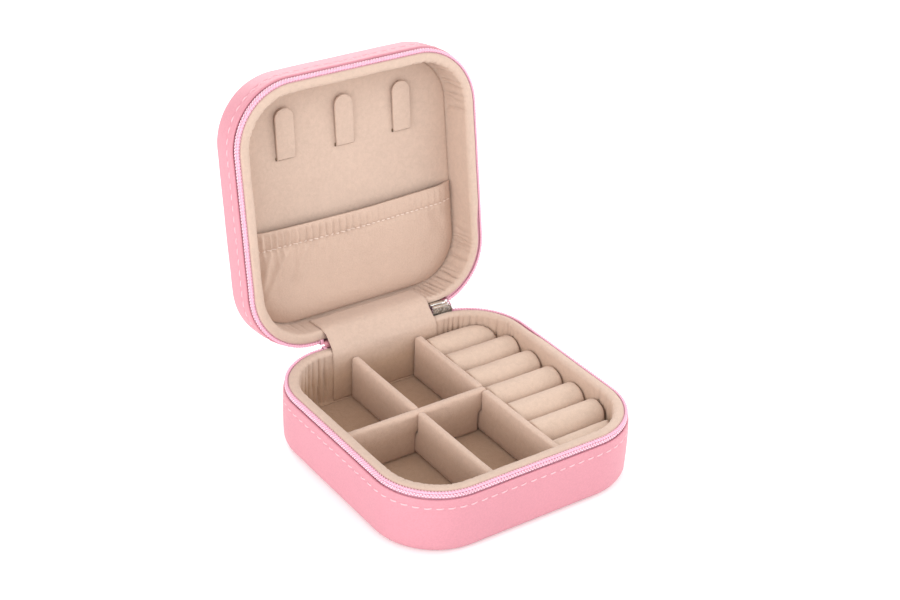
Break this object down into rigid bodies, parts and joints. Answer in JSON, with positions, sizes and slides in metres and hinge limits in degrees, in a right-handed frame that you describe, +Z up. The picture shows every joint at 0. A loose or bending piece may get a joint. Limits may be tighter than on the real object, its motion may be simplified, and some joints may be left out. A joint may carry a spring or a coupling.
{
  "type": "travel jewelry case",
  "caption": "Small square zip case for jewelry: lined base with slotted dividers and a ring roll holder, hinged lid with a panel, an elastic pocket and necklace tabs.",
  "frame": {"origin": "centre of the base's underside, on the surface it stands on", "axes": "+Z up, -Y front of the case, +Y the hinge, +X to the ring rolls"},
  "size_m": [0.1, 0.1318, 0.1233],
  "materials": {
    "leather": "fine grain",
    "zip": "woven tape with a plastic coil",
    "slider_metal": "polished",
    "board": "plain",
    "divider_cloth": "suede cloth on board",
    "elastic": "woven",
    "lining": "suede cloth on foam"
  },
  "bodies": {
    "base": {"base_leather": "leather", "base_underside": "leather", "base_board": "board", "base_floor_board": "board", "base_lining": "lining", "base_floor_lining": "lining", "base_rim_roll": "lining", "base_zip_tape": "zip", "base_zip_coil": "zip", "base_top_stop": "zip", "ring_pad_board": "board", "ring_roll_1": "lining", "ring_roll_2": "lining", "ring_roll_3": "lining", "ring_roll_4": "lining", "ring_roll_5": "lining", "ring_roll_6": "lining", "ring_roll_7": "lining", "hinge_leather": "leather", "hinge_lining": "lining", "zip_lead_in": "zip"},
    "lid": {"lid_leather": "leather", "lid_top_cover": "leather", "lid_board": "board", "lid_top_board": "board", "lid_lining": "lining", "lid_rim_roll": "lining", "lid_zip_tape": "zip", "lid_zip_coil": "zip", "lid_top_stop": "zip", "lid_panel": "lining", "lid_pocket": "lining", "pocket_elastic": "elastic"},
    "divider_grid": {"long_divider": "divider_cloth", "side_divider": "divider_cloth", "cross_divider": "divider_cloth"},
    "zip_slider": {"slider_body": "slider_metal", "slider_bridge": "slider_metal"},
    "zip_pull": {"slider_pull": "slider_metal"},
    "tab_1": {"necklace_tab_1": "lining"},
    "tab_2": {"necklace_tab_2": "lining"},
    "tab_3": {"necklace_tab_3": "lining"}
  },
  "joints": [
    {"name": "lid_hinge", "type": "hinge", "parent": "base", "child": "lid", "pos_m": [0, 0.05, 0.025], "axis": [-1, 0, 0], "range_deg": [-99, 0], "deforming": ["hinge_leather", "hinge_lining", "zip_lead_in"]},
    {"name": "divider_lift", "type": "slide", "parent": "base", "child": "divider_grid", "axis": [0, 0, 1], "range_m": [0, 0.026]},
    {"name": "slider_travel", "type": "hinge", "parent": "base", "child": "zip_slider", "pos_m": [0.026, 0.026, 0.025], "axis": [0, 0, -1], "range_deg": [0, 86]},
    {"name": "pull_swing", "type": "hinge", "parent": "zip_slider", "child": "zip_pull", "pos_m": [0.02745, 0.05186, 0.025], "axis": [0.9984, -0.0558, 0], "range_deg": [0, 50]},
    {"name": "tab_1_flex", "type": "hinge", "parent": "lid", "child": "tab_1", "pos_m": [-0.0243, 0.07316, 0.09038], "axis": [1, 0, 0], "range_deg": [0, 30], "stiffness_Nm_per_rad": 0.0006},
    {"name": "tab_2_flex", "type": "hinge", "parent": "lid", "child": "tab_2", "pos_m": [0, 0.07316, 0.09038], "axis": [1, 0, 0], "range_deg": [0, 30], "stiffness_Nm_per_rad": 0.0006},
    {"name": "tab_3_flex", "type": "hinge", "parent": "lid", "child": "tab_3", "pos_m": [0.0243, 0.07316, 0.09038], "axis": [1, 0, 0], "range_deg": [0, 30], "stiffness_Nm_per_rad": 0.0006}
  ]
}
